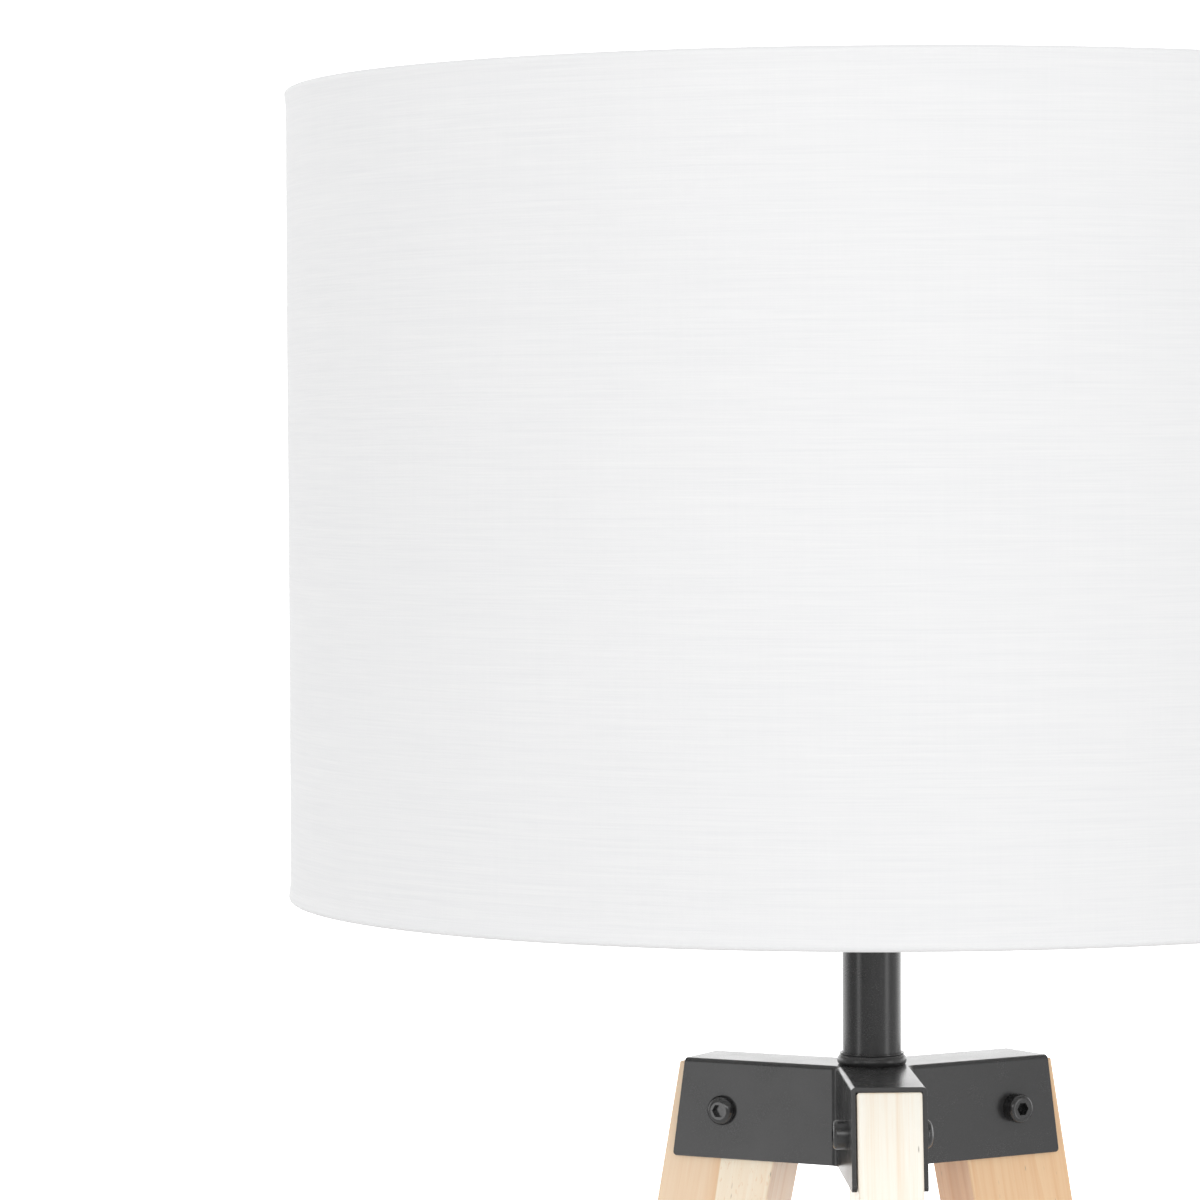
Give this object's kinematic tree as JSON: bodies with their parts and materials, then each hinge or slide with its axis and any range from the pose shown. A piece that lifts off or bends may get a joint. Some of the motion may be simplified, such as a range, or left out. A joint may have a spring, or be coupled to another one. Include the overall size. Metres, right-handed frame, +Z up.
{
  "type": "tripod floor lamp",
  "caption": "Tripod floor lamp: a fabric drum shade on a short stem, over a folded steel bracket that holds three tapering wooden legs on bolts.",
  "frame": {"origin": "on the floor, in the middle of the lamp's bounding box; the lamp's own axis stands 23.2 mm behind it, because the front leg reaches further forward than the shade does back", "axes": "+Z up along the stem, the front leg points to -Y, the other two to +X+Y and -X+Y"},
  "size_m": [0.508, 0.5261, 1.5],
  "materials": {
    "black_paint": "satin anthracite powder coat",
    "black_fastener": "blackened steel",
    "zinc_steel": "zinc plated",
    "plated_cap": "nickel plated",
    "brass": "stamped",
    "ceramic": "unglazed steatite",
    "black_plastic": "moulded, fine texture",
    "white_plastic": "moulded",
    "diffuser": "opal, light-spreading",
    "glide_plastic": "moulded",
    "white_wire": "white powder coat",
    "shade_liner": "smooth backing sheet",
    "shade_fabric": "plain weave with fine level slubs",
    "pine": "sanded pine, thin clear coat"
  },
  "bodies": {
    "stand": {"bracket": "black_paint", "leg_bolts": "black_fastener", "sleeve_nuts": "black_fastener", "stem_tube": "black_paint", "stem_collar": "black_paint", "stem_cap": "zinc_steel", "threaded_rod": "zinc_steel", "rod_washer": "zinc_steel", "rod_nut": "zinc_steel", "cord_gland": "black_plastic", "lock_washer": "zinc_steel", "lampholder_base": "black_plastic", "lampholder_shell": "black_plastic", "lampholder_insert": "ceramic", "terminal_screws": "brass", "screw_shell": "brass", "centre_contact": "brass", "side_contact": "brass"},
    "shade": {"shade_fabric": "shade_fabric", "shade_liner": "shade_liner", "shade_top_ring": "white_wire", "shade_bottom_ring": "white_wire", "shade_fitter_ring": "white_wire", "shade_spokes": "white_wire"},
    "lock_ring": {"shade_lock_ring": "black_plastic"},
    "bulb": {"bulb_tip": "zinc_steel", "bulb_insulator": "black_plastic", "bulb_cap": "plated_cap", "bulb_housing": "white_plastic", "bulb_dome": "diffuser"},
    "leg_front": {"leg_front": "pine", "glide_front": "glide_plastic"},
    "leg_right": {"leg_right": "pine", "glide_right": "glide_plastic"},
    "leg_left": {"leg_left": "pine", "glide_left": "glide_plastic"}
  },
  "joints": [
    {"name": "leg_front_fold", "type": "hinge", "parent": "stand", "child": "leg_front", "pos_m": [0, -0.03858, 1.0766], "axis": [1, 0, 0], "range_deg": [0, 11]},
    {"name": "leg_right_fold", "type": "hinge", "parent": "stand", "child": "leg_right", "pos_m": [0.05352, 0.05412, 1.0766], "axis": [-0.5, 0.866, 0], "range_deg": [0, 11]},
    {"name": "leg_left_fold", "type": "hinge", "parent": "stand", "child": "leg_left", "pos_m": [-0.05352, 0.05412, 1.0766], "axis": [-0.5, -0.866, 0], "range_deg": [0, 11]},
    {"name": "shade_turn", "type": "hinge", "parent": "stand", "child": "shade", "pos_m": [0, 0.02322, 1.21425], "axis": [0, 0, 1], "continuous": true},
    {"name": "lock_ring_turn", "type": "hinge", "parent": "stand", "child": "lock_ring", "pos_m": [0, 0.02322, 1.21655], "axis": [0, 0, 1], "continuous": true},
    {"name": "bulb_unscrew", "type": "slide", "parent": "stand", "child": "bulb", "axis": [0, 0, 1], "range_m": [0, 0.024]}
  ]
}
